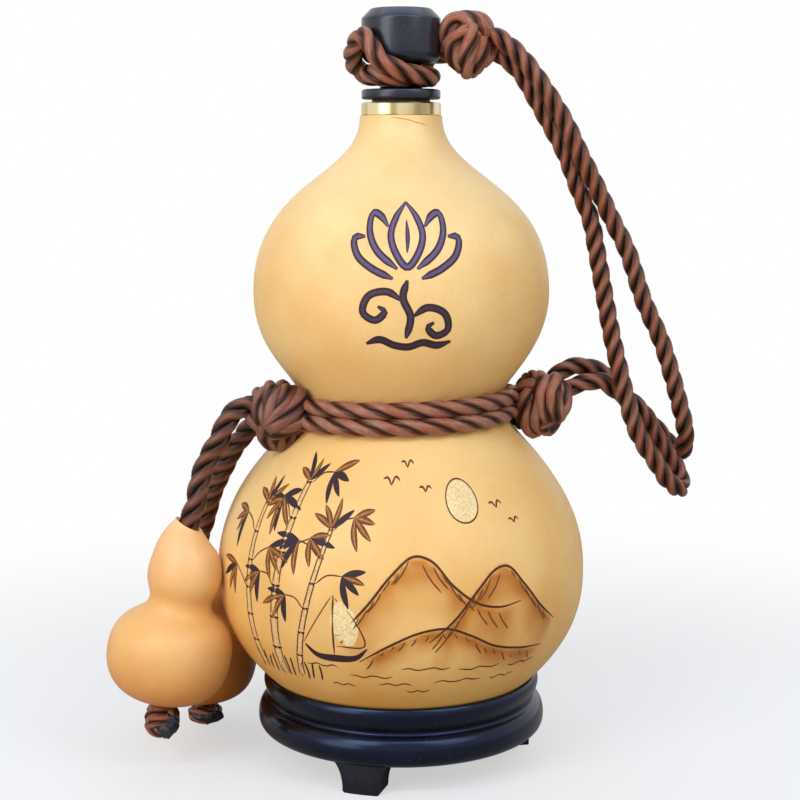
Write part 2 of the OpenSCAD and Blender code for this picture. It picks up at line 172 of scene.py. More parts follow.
def smooth(obj):
    obj.data.polygons.foreach_set("use_smooth", [True] * len(obj.data.polygons))


def setPoints(obj, name, values):   # a value per point, for the materials
    obj.data.attributes.new(name, "FLOAT", "POINT").data.foreach_set("value", values)


def meshObject(name, points, faces):
    data = bpy.data.meshes.new(name)
    data.from_pydata([tuple(p) for p in points], [], faces)
    data.update()
    obj = bpy.data.objects.new(name, data)
    scene.collection.objects.link(obj)
    return obj


# A finished piece takes its CAD node's place; a cord that bends between bodies rides on none
def takePlace(obj, node, material, body=None):
    obj.data.materials.append(material)
    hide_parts(node)
    if body:
        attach(obj, body)


deselectAll()
bpy.ops.mesh.primitive_plane_add(size=8, location=(0, 0, 0))
floor = bpy.context.object
floor.name = "floor"
floorMaterial, floorShader, floorPlace, add = newMaterial("pale floor")
floorFar = add("VectorMath", {0: floorPlace}, operation="LENGTH")
# white to the camera away from the object, and the object's soft shadow near it
floorShare = add("MapRange", {"Value": floorFar.outputs["Value"], "From Min": 0.1,
                              "From Max": 0.42, "To Min": 0.55, "To Max": 1.0},
                 interpolation_type="SMOOTHSTEP")
floorSeen = add("LightPath").outputs["Is Camera Ray"]
floorTone = add("MixRGB", {"Fac": floorSeen, "Color1": "#c2bcb3", "Color2": "#e9e8e6"})
setInputs(floorShader, {"Base Color": floorTone, "Roughness": 0.9})
floorFresh = add("Math", {0: floorSeen, 1: floorShare}, operation="MULTIPLY")
floorGlow = add("Emission", {"Color": "#ffffff", "Strength": 1.0})
floorMix = add("MixShader", {0: floorFresh, 1: floorShader, 2: floorGlow})
setInputs(floorMaterial.node_tree.nodes["Material Output"], {"Surface": floorMix})
floor.data.materials.append(floorMaterial)
print("camera, lights and floor made")


# Cords

cord = {
    "diameter": 6.4 * mm,
    "pendantDiameter": 6.6 * mm,
    "pendantFull": 1.12,      # the pendants' cords hang slack, so their strands stand open
    "wrapDiameter": 6.0 * mm,
    "loopFull": 1.03, "loopPlump": 1.08,
    "lay": 20 * mm,           # length of one full turn of the strands
    "pendantLay": 23 * mm,
    "wrapLay": 31 * mm,       # drawn out where it is wound tight
    "loopLay": 26 * mm,
    "strands": 3,
    "strandShare": 0.248,     # a strand's radius as a share of the cord's diameter
    "pressed": 1.12,          # how much broader than deep a strand is
    "lit": 0.9,               # how far plumpness lifts the flanks out of the painted groove shade
    "sides": 14,
    "step": 0.75 * mm,        # between rings
}

strapInnerRoute = [
    (31.5, 3, 244), (36.5, 2, 240.5), (40.5, 1, 236.5), (43.5, 0.5, 231.5), (49.5, 0, 221),
    (55.5, 0, 210), (60, 0, 198.5), (64.5, -0.5, 187.5), (66.5, -1.5, 177.5), (69.5, -4, 160.5),
    (71.5, -6, 149.5), (74, -8, 138), (77, -8, 126.5), (81, -7.5, 115), (88.1, -6.5, 104),
    (91, -5.5, 99.5), (94.5, -3.5, 96), (97, -0.5, 94.5), (98, 2.5, 96), (97.3, 4, 99.5),
    (94.1, 4, 105), (90.6, 3, 110), (87.4, 2, 114.5), (85, 1, 119.5), (81, 0, 124),
    (77.5, -0.8, 126.5), (74.5, -1, 128.5), (71.5, -1.5, 131), (68, -2, 132.5), (64, -2, 132),
    (60, -2, 131), (57, -2.5, 129.5)]
strapOuterRoute = [
    (32, -3.2, 248.2), (36, -4.5, 245.5), (40.5, -5.5, 241), (44.5, -6, 236), (54.5, -5.5, 221),
    (60, -5, 210), (66, -4, 198.5), (71.5, -3, 187.5), (77, -2, 177), (83, -1, 160),
    (89.5, 0, 146), (93, 0, 135.5), (96, 1, 125.5), (98.5, 2.5, 116.5), (99.5, 6, 110),
    (99, 9.5, 106), (97, 12, 106.5), (94, 12.5, 109.5), (91, 12, 113), (87, 10, 117),
    (82, 8, 122.5), (77.5, 6.5, 127), (72, 5, 133), (67, 3.5, 136), (62.5, 3, 137),
    (58, 3, 136.5), (54.5, 2, 134.5)]
pendantFrontRoute = [
    (-51.5, -17.3, 126.2), (-54, -17.8, 125.2), (-57, -18, 123), (-59, -18.5, 119.5),
    (-61.5, -19, 114), (-64.5, -19, 109), (-66.5, -19.5, 104.5), (-68, -20, 99.5),
    (-69, -20, 93.5), (-71.5, -20, 86), (-81, -20, 22), (-81.4, -20, 19.5)]
pendantBackRoute = [
    (-48.5, -9, 120.5), (-52.5, -6, 116), (-56.3, -3, 111.5), (-59.4, 0, 106.5),
    (-61.4, 3, 102.5), (-64.2, 7, 97), (-66.7, 11, 91.5), (-68.7, 15, 85.5), (-70.7, 19, 79),
    (-72.5, 21.5, 74), (-73.5, 22, 70), (-71.5, 22, 8.5), (-71.4, 22, 6)]
loopRoute = [
    (19.5, 6.5, 251), (14.5, 11.5, 250), (11, 14.5, 246.5), (9, 15, 242.5), (7.5, 14.3, 238.5),
    (6.5, 10.5, 235.8), (8.5, 5.5, 235.3), (10.1, 1, 235.2), (9.3, -4, 235.2),
    (6.3, -8.5, 235.4), (2.5, -12, 236), (-0.5, -14.3, 236.8), (-3.6, -15.5, 238.2),
    (-7.2, -15, 240.5), (-9.4, -13.8, 243.8), (-11, -12.4, 246.8), (-12.8, -10.4, 248.2),
    (-14.8, -7.2, 246.2), (-16.1, -2.5, 243.2), (-16.1, 2.2, 240.6), (-14.6, 6.2, 238.2),
    (-11.6, 8.4, 236.2), (-8, 9, 235.5), (-3, 10, 235.3), (0, 13, 236.5), (2, 17.5, 240),
    (6, 20.5, 243.5), (11, 22, 244), (17, 18.5, 244), (20.5, 12, 244)]


# Even points on a smooth curve through the given ones (centripetal Catmull-Rom)
def alongCurve(points, step, closed=False):
    points = [Vector(p) for p in points]
    count = len(points)
    if closed:
        padded = [points[-1]] + points + points[:2]
        spans = count
    else:
        padded = [2 * points[0] - points[1]] + points + [2 * points[-1] - points[-2]]
        spans = count - 1
    dense = []
    for i in range(spans):
        a, b, c, d = padded[i:i + 4]
        ta = 0.0
        tb = ta + max((b - a).length, 1e-9) ** 0.5
        tc = tb + max((c - b).length, 1e-9) ** 0.5
        td = tc + max((d - c).length, 1e-9) ** 0.5
        pieces = max(2, int((c - b).length / step * 3))
        for k in range(pieces):
            t = tb + (tc - tb) * k / pieces
            ab = a.lerp(b, (t - ta) / (tb - ta))
            bc = b.lerp(c, (t - tb) / (tc - tb))
            cd = c.lerp(d, (t - tc) / (td - tc))
            abc = ab.lerp(bc, (t - ta) / (tc - ta))
            bcd = bc.lerp(cd, (t - tb) / (td - tb))
            dense.append(abc.lerp(bcd, (t - tb) / (tc - tb)))
    dense.append(dense[0].copy() if closed else padded[-2].copy())
    lengths = [0.0]
    for p, q in zip(dense, dense[1:]):
        lengths.append(lengths[-1] + (q - p).length)
    rings = max(2, round(lengths[-1] / step))
    even, at = [], 0
    for k in range(rings + 1):
        want = lengths[-1] * k / rings
        while at < len(lengths) - 2 and lengths[at + 1] < want:
            at += 1
        span = lengths[at + 1] - lengths[at]
        even.append(dense[at].lerp(dense[at + 1], (want - lengths[at]) / span if span else 0))
    return even[:-1] if closed else even


def cordRoute(route, before=(), after=()):   # a cord's path, from millimetres
    return alongCurve([Vector(p) * mm for p in [*before, *route, *after]], cord["step"])


def pathLength(points):
    return sum((q - p).length for p, q in zip(points, points[1:]))


# Tangent and two side vectors at each point, turned as little as possible
def framesAlong(path):
    last = len(path) - 1
    tangents = [(path[min(i + 1, last)] - path[max(i - 1, 0)]).normalized()
                for i in range(len(path))]
    first = Vector((0, 1, 0)) if abs(tangents[0].y) < 0.8 else Vector((1, 0, 0))
    side = (first - first.dot(tangents[0]) * tangents[0]).normalized()
    frames = []
    for t in tangents:
        side = (side - side.dot(t) * t).normalized()
        frames.append((t, side, t.cross(side)))
    return frames


# Three strands laid right-handed round a path, with UVs and a crown value, from which the material
# paints shade into the grooves and highlights on the crests; plumper strands press together and
# get less painted shade
def makeRope(name, path, diameter, phase=0.0, lay=cord["lay"], plump=1.0):
    strands, sides = cord["strands"], cord["sides"]
    strandR = diameter * cord["strandShare"] * plump
    helixR = diameter * 0.5 - strandR
    count = len(path)
    step = pathLength(path) / (count - 1)
    turns = step * count / lay
    slope = 2 * pi * helixR * turns / (step * count)
    points, faces, crowns, corners = [], [], [], []
    for s in range(strands):
        base = len(points)
        for i, (t, a, b) in enumerate(framesAlong(path)):
            angle = phase + 2 * pi * (s / strands + turns * (i / count))
            out = cos(angle) * a + sin(angle) * b
            around = -sin(angle) * a + cos(angle) * b
            along = (t + slope * around).normalized()
            centre = path[i] + out * helixR
            flat = along.cross(out)
            for k in range(sides):
                turn = 2 * pi * k / sides
                c, n = cos(turn), sin(turn)
                points.append(centre + (c * out + n * flat * cord["pressed"]) * strandR)
                # the crown value, high on a strand's crest and low in its grooves, carries the
                # painted shade and highlight
                crowns.append(0.5 + 0.5 * c + cord["lit"] * (plump - 1))
        for i in range(count - 1):
            low, high = step * i / mm, step * (i + 1) / mm
            for k in range(sides):
                a, b = base + i * sides + k, base + i * sides + (k + 1) % sides
                faces.append((a, b, b + sides, a + sides))
                corners += [k / sides, low, (k + 1) / sides, low, (k + 1) / sides, high,
                            k / sides, high]
        for end, row in ((0, range(sides)[::-1]), (count - 1, range(sides))):
            faces.append([base + end * sides + k for k in row])
            for k in row:
                corners += [k / sides, step * end / mm]
    obj = meshObject(name, points, faces)
    setPoints(obj, "crown", crowns)
    obj.data.uv_layers.new(name="UVMap").data.foreach_set("uv", corners)
    smooth(obj)
    obj.data.update()
    return obj


# Silky cord of artificial fibre, laid from three strands: fine bright filaments, painted black
# shade in the grooves and painted highlights on the strand crests
def cordMaterial(name, dark, middle, light, sheen):
    material, shader, place, add = newMaterial(name)
    crown = add("Attribute", attribute_name="crown").outputs["Fac"]
    # filaments are 0.1 mm in life, drawn here at about 0.35 mm so that they show
    stretch = add("Mapping", {"Vector": add("UVMap"), "Scale": (26, 0.35, 1),
                              "Rotation": (0, 0, 0.02)})
    filaments = add("TexNoise", {"Vector": stretch, "Scale": 1.0, "Detail": 3, "Roughness": 0.6})
    patches = add("TexNoise", {"Vector": place, "Scale": 95, "Detail": 2})
    ragged = add("Math", {0: filaments, 1: 0.09}, operation="MULTIPLY")
    level = add("Math", {0: crown, 1: ragged}, operation="SUBTRACT")
    # painted shade and highlight: low crown values, in the grooves, take the dark colour, the
    # crests the light one
    depth = add("ValToRGB", {"Fac": level}, [(0.64, dark), (0.84, middle), (0.97, light)])
    streak = add("ValToRGB", {"Fac": filaments}, [(0.3, "#7a665c"), (0.7, "#ffffff")])
    shaded = add("MixRGB", {"Fac": 0.7, "Color1": depth, "Color2": streak}, blend_type="MULTIPLY")
    warm = add("ValToRGB", {"Fac": patches}, [(0.42, "#ffffff"), (0.62, "#f3a877")])
    tinted = add("MixRGB", {"Fac": 0.5, "Color1": shaded, "Color2": warm}, blend_type="MULTIPLY")
    bump = add("Bump", {"Height": filaments, "Strength": 0.6, "Distance": 0.0002})
    setInputs(shader, {"Base Color": tinted, "Normal": bump, "Roughness": 0.4,
                       "Sheen Weight": 0.06, "Sheen Roughness": 0.3, "Sheen Tint": sheen,
                       "Specular IOR Level": 0.5, "Specular Tint": "#f6d3c2"})
    return material


cordFinish = cordMaterial("laid silky cord", "#180804", "#6f3a23", "#b07a64", "#d3b0aa")
# a darker copy of the same cord for the pendants and the left knot, which hang in shade: painted
# shade
shadedCordFinish = cordMaterial("laid silky cord, in painted shade", "#100503", "#552c1d", "#8f6254",
                          "#cfaeae")


# Each cord runs on a little way inside the knots at its ends
for name, route, node, phase, before, after in (
        ("strapCordInner", strapInnerRoute, "strap_cord_inner", 0.4,
         (26, 2.5, 246), (51, -3, 127)),
        ("strapCordOuter", strapOuterRoute, "strap_cord_outer", 1.7,
         (26.5, -2.8, 249.4), (50, 0.5, 130))):
    path = cordRoute(route, [before], [after])
    strap = makeRope(name, path, cord["diameter"], phase)
    takePlace(strap, node, cordFinish)
    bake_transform(strap)

pendantCords = {}
for side, route, start, end, phase, before in (
        ("front", pendantFrontRoute, (-0.0515, -0.0173, 0.1262), (-0.0615, -0.019, 0.114), 0.0,
         (-46, -16.6, 125)),
        ("back", pendantBackRoute, (-0.0485, -0.009, 0.1205), (-0.0575, 0, 0.1065), 1.1,
         (-44.5, -12, 122.5))):
    path = cordRoute(route, [before])
    hanging = makeRope("pendantCord" + side.capitalize(), path,
                       cord["pendantDiameter"] * cord["pendantFull"], phase, cord["pendantLay"])
    takePlace(hanging, "pendant_cord_" + side, shadedCordFinish)
    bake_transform(hanging)
    pendantCords[side] = hanging, path

stopperLoop = makeRope("stopperLoop", cordRoute(loopRoute), cord["diameter"] * cord["loopFull"],
                       0.8, cord["loopLay"], cord["loopPlump"])
# its second turn hugs the neck of the stopper, seen at the left under the first
innerTurn = [(5.5, -8.6, 235), (0, -10.2, 234.8), (-5.6, -9, 235.2), (-9.8, -4.8, 236),
             (-11, 0.4, 236.6), (-9.4, 5.4, 236.2), (-5.4, 9, 236), (0, 10.4, 235.6)]
turnRope = makeRope("innerTurn", cordRoute(innerTurn), cord["diameter"], 0.3, cord["loopLay"],
                    cord["loopPlump"])
joinInto(stopperLoop, [turnRope])
takePlace(stopperLoop, "stopper_loop", cordFinish, "tether")

# The winding round the waist: a falling helix that bows out with the bulbs
wrap = {"top": 128.6, "pitch": 5.35, "radius": 37.5, "bow": 0.075, "waist": 125.6, "turns": 2,
        "points": 48, "plump": 1.14}
wrapPoints = []
for i in range(wrap["points"] * wrap["turns"] + 1):
    turn = i / wrap["points"]
    z = wrap["top"] - wrap["pitch"] * turn
    radius = wrap["radius"] + wrap["bow"] * (z - wrap["waist"]) ** 2
    angle = -2 * pi * turn
    wrapPoints.append((radius * cos(angle), radius * sin(angle), z))
waistWrap = makeRope("waistWrap", cordRoute(wrapPoints), cord["wrapDiameter"], 0.2,
                     cord["wrapLay"], wrap["plump"])
takePlace(waistWrap, "waist_wrap", cordFinish, "bottle")
print("cords laid")


# Knots: short bights of the same cord, drawn tight over one another round a core painted dark as
# the shade inside the knot

tying = {
    "lay": 46 * mm, "endLay": 30 * mm, "plump": 1.14, "step": 0.6 * mm,
    "behind": 0.85,               # how wide the back of a knot is against its front
    "sunk": 0.6, "over": 0.4,     # how deep the first row lies, and how far each next one rises
    "edge": 0.06,                 # least bulge at the outline
    "tuck": 0.4, "depth": 0.8,    # where the ends of a row go inside
    "dark": 0.2,                  # crown value of the core: the darkest cord colour, painted shade inside the knot
}


def roundBody(name, centre, half, segments, rings):   # in millimetres
    deselectAll()
    bpy.ops.mesh.primitive_uv_sphere_add(segments=segments, ring_count=rings, radius=1,
                                         location=Vector(centre) * mm)
    body = bpy.context.object
    body.name = name
    body.scale = [h * mm for h in half]
    settle(body)
    smooth(body)
    return body


# Bights are rows of (across, up) millimetres over the front of a rounded body; the same rows,
# turned half round, close the back. The core is (across, up, share of the body's size).
def tiedKnot(name, centre, half, bights, thick, behind=tying["behind"], lay=tying["lay"],
             core=(0, 0, 0.92)):
    middle = (centre[0] + core[0], centre[1], centre[2] + core[1])
    parts = [roundBody(name, middle, [h * core[2] for h in half], 24, 14)]
    # the core is given the cord's darkest colour: painted shade in the gaps between the bights
    setPoints(parts[0], "crown", [tying["dark"]] * len(parts[0].data.vertices))
    for side in (1, -1):
        for row, (share, points) in enumerate(bights):
            path = []
            for across, up in points:
                inside = 1 - (across / half[0]) ** 2 - (up / half[2]) ** 2
                out = (half[1] * sqrt(max(tying["edge"], inside)) + tying["over"] * row
                       - tying["sunk"])
                path.append(Vector((across, -out, up)))
            first, last = (Vector((p.x * tying["tuck"], tying["depth"], p.z * tying["tuck"]))
                           for p in (path[0], path[-1]))
            path = [first] + path + [last]
            if side < 0:
                path = [Vector((-p.x * behind, -p.y, p.z)) for p in path]
            route = alongCurve([Vector(centre) * mm + p * mm for p in path], tying["step"])
            parts.append(makeRope(name + str(len(parts)), route, thick * share, 0.9 * row, lay,
                                  tying["plump"]))
    knot = parts[1]
    joinInto(knot, parts)
    knot.name = name
    return knot


knots = {
    "topKnot": {
        "node": "top_knot", "body": "tether", "centre": (22.6, 0, 246.4), "half": (6.8, 5.8, 8.0),
        "core": (0, 0, 0.92), "thick": 6.4 * mm, "finish": cordFinish, "bights": [
            (1, [(6.2, 2.8), (6.9, -0.6), (6, -3.8), (4.2, -5.8)]),
            (1, [(3.8, 3.4), (4.2, -1), (3.4, -5), (1.8, -7.8)]),
            (1, [(-1.2, 3.6), (-4.6, 0.4), (-5, -3.4), (-2.6, -7)]),
            (1.05, [(1.4, 3.8), (0.4, -0.8), (-0.8, -4.8), (-0.6, -8.8)]),
            (0.85, [(-6.4, -1.2), (-4.4, 2), (-0.8, 3.6), (2.6, 3.4)]),
            (1.1, [(-6.8, 2.2), (-5.6, 6.4), (-2, 7.6), (1.4, 6.6), (3.6, 3.8)])]},
    "rightKnot": {
        "node": "right_knot", "body": "bottle", "centre": (48.2, -2, 124.8),
        "half": (8.8, 5.8, 8.8), "core": (-0.6, 0.6, 0.74), "thick": 6.2 * mm,
        "finish": cordFinish, "bights": [
            (1, [(-8.4, 1), (-6.4, 4.8), (-3, 6.6), (0.4, 6.2)]),
            (0.9, [(5, 1.4), (3.4, -2.4), (1.2, -4.8), (-0.8, -6.4)]),
            (1, [(-2.4, 2.4), (-2.4, -2.6), (-1, -6.8), (0.6, -7.6)]),
            (1.05, [(-5, 2.8), (-6.2, -1.8), (-5.2, -6.4), (-2.6, -9)]),
            (1, [(6.8, 5.8), (7.4, 2.6), (7.2, -0.8), (5.4, -3.4)]),
            (1, [(0.4, 8), (-0.6, 4.2), (0.2, 0), (2.2, -3.6)]),
            (1.1, [(4, 8), (3.2, 4.4), (3.8, 0.4), (4.8, -3.2)])]},
    "leftKnot": {
        "node": "left_knot", "body": "bottle", "centre": (-41.0, -16.2, 123.0),
        "half": (8.8, 5.8, 9.0), "core": (0, 0, 0.88), "thick": 6.2 * mm, "finish": shadedCordFinish,
        "bights": [
            (1, [(-8.6, -0.6), (-6.4, -2.6), (-3.4, -3.8)]),
            (1, [(8.2, -2.4), (5.6, -5.2), (2.4, -6.8)]),
            (1, [(3.2, -4.6), (3, -7), (1.6, -9)]),
            (1.05, [(-3.8, -2.8), (-4.2, -6.4), (-1.6, -9.6)]),
            (1, [(-0.4, -3.8), (0, -6.8), (0.2, -9.4)]),
            (1, [(-4.8, -1.2), (-5.8, 3.2), (-4.2, 7.2)]),
            (1.05, [(-2.2, -0.8), (-2.4, 4.2), (-1.2, 8.2)]),
            (1, [(3.4, 8.2), (2.2, 4.6), (0, 1.4), (-2.2, -1.8)]),
            (1.1, [(8.8, 2), (6.4, -1.2), (2, -3.6), (-1.8, -4)]),
            (1.1, [(7.4, 6.2), (5.4, 2.8), (2.4, -0.2), (-0.8, -2.6)])]},
}
for name, knot in knots.items():
    tied = tiedKnot(name, knot["centre"], knot["half"], knot["bights"], knot["thick"],
                    core=knot["core"])
    takePlace(tied, knot["node"], knot["finish"], knot["body"])
print("knots tied")


# Materials of the gourds: dried skin, scraped and polished, satin, with faint mottling

def gourdMaterial(name, pale, middle, deep, lowZ, highZ, levels):
    material, shader, place, add = newMaterial(name)
    height = add("SeparateXYZ", {"Vector": place}).outputs["Z"]
    clouds = add("TexNoise", {"Vector": place, "Scale": 28, "Detail": 4, "Roughness": 0.55})
    freckles = add("TexNoise", {"Vector": place, "Scale": 900, "Detail": 2, "Roughness": 0.7})
    heightShare = add("MapRange", {"Value": height, "From Min": lowZ, "From Max": highZ})
    wobble = add("Math", {0: clouds, 1: 0.25}, operation="MULTIPLY")
    level = add("Math", {0: heightShare, 1: wobble}, operation="ADD")
    ground = add("ValToRGB", {"Fac": level}, list(zip(levels, (deep, middle, middle, pale))))
    patch = add("ValToRGB", {"Fac": clouds}, [(0.35, "#f4dfc2"), (0.65, "#ffffff")])
    mottled = add("MixRGB", {"Fac": 0.6, "Color1": ground, "Color2": patch}, blend_type="MULTIPLY")
    speck = add("ValToRGB", {"Fac": freckles}, [(0.3, "#e9cfa8"), (0.52, "#ffffff")])
    skin = add("MixRGB", {"Fac": 0.14, "Color1": mottled, "Color2": speck}, blend_type="MULTIPLY")
    bump = add("Bump", {"Height": freckles, "Strength": 0.05, "Distance": 0.0004})
    setInputs(shader, {"Base Color": skin, "Normal": bump, "Roughness": 0.47, "Coat Weight": 0.12,
                       "Coat Roughness": 0.35, "Specular IOR Level": 0.4})
    return material, shader, skin


gourdSkin, gourdShader, gourdColour = gourdMaterial(
    "polished gourd skin", "#f7d293", "#f3c880", "#dca03c", 0.012, 0.222, (0.12, 0.46, 0.75, 1.0))
scorch = addNode(gourdSkin, "Attribute", attribute_name="scorch").outputs["Fac"]
scorchTone = addNode(gourdSkin, "ValToRGB", {"Fac": scorch},
                     [(0.0, "#ffffff"), (0.5, "#d3aa67"), (1.0, "#9a6a3a")])
scorched = addNode(gourdSkin, "MixRGB", {"Fac": 1.0, "Color1": gourdColour, "Color2": scorchTone},
                   blend_type="MULTIPLY")
setInputs(gourdShader, {"Base Color": scorched})
smallSkin = gourdMaterial("small gourd skin", "#f3c084", "#eeb973", "#cf780e", 0.01, 0.09,
                          (0.2, 0.62, 0.76, 1.0))[0]


# Turned pieces: an outline of curve points is spun round an axis

# Points of a curve in runs of (handle after the start, handle before the end, end, count),
# the handles given from their own ends
def curveLine(start, runs):
    line = []
    for ahead, behind, end, count in runs:
        b = start[0] + ahead[0], start[1] + ahead[1]
        c = end[0] + behind[0], end[1] + behind[1]
        for i in range(count):
            u = i / count
            v = 1 - u
            line.append(tuple(v ** 3 * start[k] + 3 * v * v * u * b[k] + 3 * v * u * u * c[k]
                              + u ** 3 * end[k] for k in (0, 1)))
        start = end
    return line + [start]


# Spins an outline of (radius, height) points in millimetres round +Z into a closed skin
def turnedPiece(name, outline, steps):
    obj = meshObject(name, [(r * mm, 0, z * mm) for r, z in outline], [])
    obj.data.edges.add(len(outline) - 1)
    for i, edge in enumerate(obj.data.edges):
        edge.vertices = (i, i + 1)
    activate(obj)
    bpy.ops.object.mode_set(mode="EDIT")
    bpy.ops.mesh.select_all(action="SELECT")
    bpy.ops.mesh.spin(steps=steps, angle=2 * pi, center=(0, 0, 0), axis=(0, 0, 1))
    bpy.ops.mesh.select_all(action="SELECT")
    bpy.ops.mesh.remove_doubles(threshold=2e-6)
    bpy.ops.mesh.normals_make_consistent(inside=False)
    bpy.ops.object.mode_set(mode="OBJECT")
    bpy.ops.object.shade_smooth_by_angle(angle=radians(40))
    return obj


gourd = {
    "start": (0, 15.0),
    "runs": [
        ((5, 0), (-5, 0), (14.0, 12.0), 6),             # dimple under the gourd
        ((4, 0), (-3.4, -2), (24.0, 14.2), 5),
        ((30.7, 18.0), (0, -18.6), (63.7, 67.3), 42),   # belly
        ((0, 32.6), (0, -10.8), (34.5, 125.6), 40),     # waist
        ((0, 8.7), (0, -21.6), (50.4, 163.3), 24),      # upper bulb
        ((0, 38), (0, -21.2), (13.9, 222.4), 32)],      # cut neck
    "underside": 11,                    # points before the outline starts to rise
    "wall": 3.6, "bore": 10.4, "boreFloor": 210.8, "steps": 400,
    # The slow unevenness of a grown shell: its places in metres, its heights in millimetres
    "low": 0.034, "high": 0.212, "fade": 0.02, "outside": 0.013,
    "waist": 0.1256, "wrapHalf": 0.009, "wrapFade": 0.01,
    "lumps": 24, "lumpHigh": 0.45, "ripples": 2.3, "rippleHigh": 0.18,
}
outerLine = curveLine(gourd["start"], gourd["runs"])
outerRadii, outerHeights = np.array(outerLine[gourd["underside"]:]).T


def skinRadius(z):   # of the gourd's outside at a height, both in millimetres
    return float(np.interp(z, outerHeights, outerRadii))


def skinRise(p):   # faded out at the stand, the waist and the mouth
    fade = min(1, max(0, (p.z - gourd["low"]) / gourd["fade"]),
               max(0, (gourd["high"] - p.z) / gourd["fade"]),
               max(0, (abs(p.z - gourd["waist"]) - gourd["wrapHalf"]) / gourd["wrapFade"]))
    q = p * gourd["lumps"]
    return (noise.noise(q) * gourd["lumpHigh"]
            + noise.noise(q * gourd["ripples"]) * gourd["rippleHigh"]) * fade * mm


# u runs round the front from the middle, z up, both in millimetres
def onSkin(u, z, lift, girth):
    angle = u / girth
    slope = skinRadius(z + 0.5) - skinRadius(z - 0.5)
    normal = Vector((sin(angle), -cos(angle), -slope)).normalized()
    r = skinRadius(z)
    bare = Vector((r * sin(angle), -r * cos(angle), z)) * mm
    away = Vector((bare.x, bare.y, 0)).normalized()
    return bare + away * skinRise(bare) + normal * lift * mm


innerLine = []   # the cavity, up to 5 mm under the sleeve
for i in range(1, len(outerLine) - 1):
    (r0, z0), (r1, z1) = outerLine[i - 1], outerLine[i + 1]
    length = hypot(r1 - r0, z1 - z0)
    r = outerLine[i][0] - gourd["wall"] * (z1 - z0) / length
    z = outerLine[i][1] + gourd["wall"] * (r1 - r0) / length
    if r > 0.5 and z < gourd["boreFloor"] - 5:
        innerLine.append((r, z))
bore = [(gourd["bore"], z) for z in (outerLine[-1][1], gourd["boreFloor"])]
shellOutline = outerLine + bore + innerLine[::-2] + [(0, innerLine[0][1])]
gourdShell = turnedPiece("gourdShell", shellOutline, gourd["steps"])
for v in gourdShell.data.vertices:
    away = Vector((v.co.x, v.co.y, 0))
    if away.length > gourd["outside"] and v.co.z > gourd["low"]:
        v.co += away.normalized() * skinRise(v.co)
takePlace(gourdShell, "gourd_shell", gourdSkin, "bottle")
print("gourd turned")


# Burnt drawing: thin ribbons on the skin for the lines, and scorched skin for the shading

drawing = {
    "lift": 0.06, "step": 1.0,
    "belly": 63.7, "upper": 50.4, "neck": 13.9,   # girths that u is measured round
    "ornament": (2.0, 171.5),
    "rise": 13.0,                                 # height of the lower picture's own zero
}
ribbonPoints, ribbonFaces, ribbonBurn = [], [], []


# Width and places in millimetres; burn is the tone at the edges and along the middle
def stroke(points, width, burn=(0.42, 0.66), shape="line", across=2, sharp=1.0, closed=False,
           girth=drawing["belly"]):
    if girth == drawing["belly"]:
        points = [(u, z + drawing["rise"]) for u, z in points]
    path = alongCurve([(u, 0, z) for u, z in points], drawing["step"], closed)
    if closed:
        path.append(path[0].copy())
    count = len(path) - 1
    base = len(ribbonPoints)
    for i, p in enumerate(path):
        share = i / count
        t = path[min(i + 1, count)] - path[max(i - 1, 0)]
        if closed and i in (0, count):
            t = path[1] - path[-2]
        t.normalize()
        if shape == "leaf":
            full = sin(pi * min(1, share * 0.92 + 0.05)) ** 0.8
        elif shape == "disc":
            full = sqrt(max(0.0, 1 - (2 * share - 1) ** 2))
        else:
            full = 1.0 if closed else min(1, 0.35 + 5 * min(share, 1 - share))
        for k in range(across + 1):
            off = (k / across - 0.5) * width * full
            middle = min(1, (1 - abs(2 * k / across - 1)) * sharp)
            ribbonPoints.append(onSkin(p.x - t.z * off, p.z + t.x * off,
                                       drawing["lift"] * (0.4 + 0.6 * min(1, 2 * middle)), girth))
            ribbonBurn.append(burn[0] + (burn[1] - burn[0]) * middle)
    for i in range(count):
        for k in range(across):
            a = base + i * (across + 1) + k
            ribbonFaces.append((a, a + across + 1, a + across + 2, a + 1))


# The ornament of the upper bulb: a lotus over its stem, two curled leaves and the water
lotus = [
    [(0, 23), (3.8, 18.5), (5.6, 13), (3.6, 7), (0, 3), (-3.6, 7), (-5.6, 13), (-3.8, 18.5),
     (0, 23)],
    *[[(side * u, z) for u, z in petal] for petal in (
        [(6.6, 15.4), (9.6, 18.6), (13, 19.6), (13.4, 14.6), (10.4, 8.4), (3.2, 2.4)],
        [(14.6, 12.4), (18.4, 12), (16.8, 6.8), (11.6, 2.6), (4.6, -0.6)]) for side in (1, -1)],
    [(0, -1), (-1.4, -6.4), (1.0, -12.6), (-0.4, -19.4)],
    [(-1.8, -7.4), (-6.4, -4.6), (-12.4, -6.0), (-14.2, -11.2), (-10.2, -13.6), (-7.2, -10.8),
     (-9.4, -9.2)],
    [(1.8, -12.4), (6.4, -9.6), (12.0, -11.6), (13.2, -16.8), (9.2, -18.6), (6.6, -15.8),
     (8.6, -14.4)],
    [(-13.6, -21.2), (-9, -19.8), (-4.4, -21.6), (0.4, -22.2), (5.2, -20.8), (10, -21.8),
     (14.6, -20.6)],
]
u0, z0 = drawing["ornament"]
for line in lotus:
    high = (sum(z for u, z in line) / len(line) + 22) / 40   # the upper strokes' glaze is bluer
    stroke([(u + u0, z + z0) for u, z in line], 2.5, (0.5, 1.04 + 0.26 * high), across=8,
           sharp=1.7, girth=drawing["upper"])
stroke([(u0, z0 + 7.4), (u0 + 0.3, z0 + 12), (u0, z0 + 17.6)], 1.6, (0.5, 1.2), "leaf", across=6,
       sharp=1.6, girth=drawing["upper"])
hairCrack = [(-3.2, 221.6), (1.5, 221.0), (5.5, 219.9), (9.5, 219.0)]
stroke(hairCrack, 0.32, (0.2, 0.3), girth=drawing["neck"])

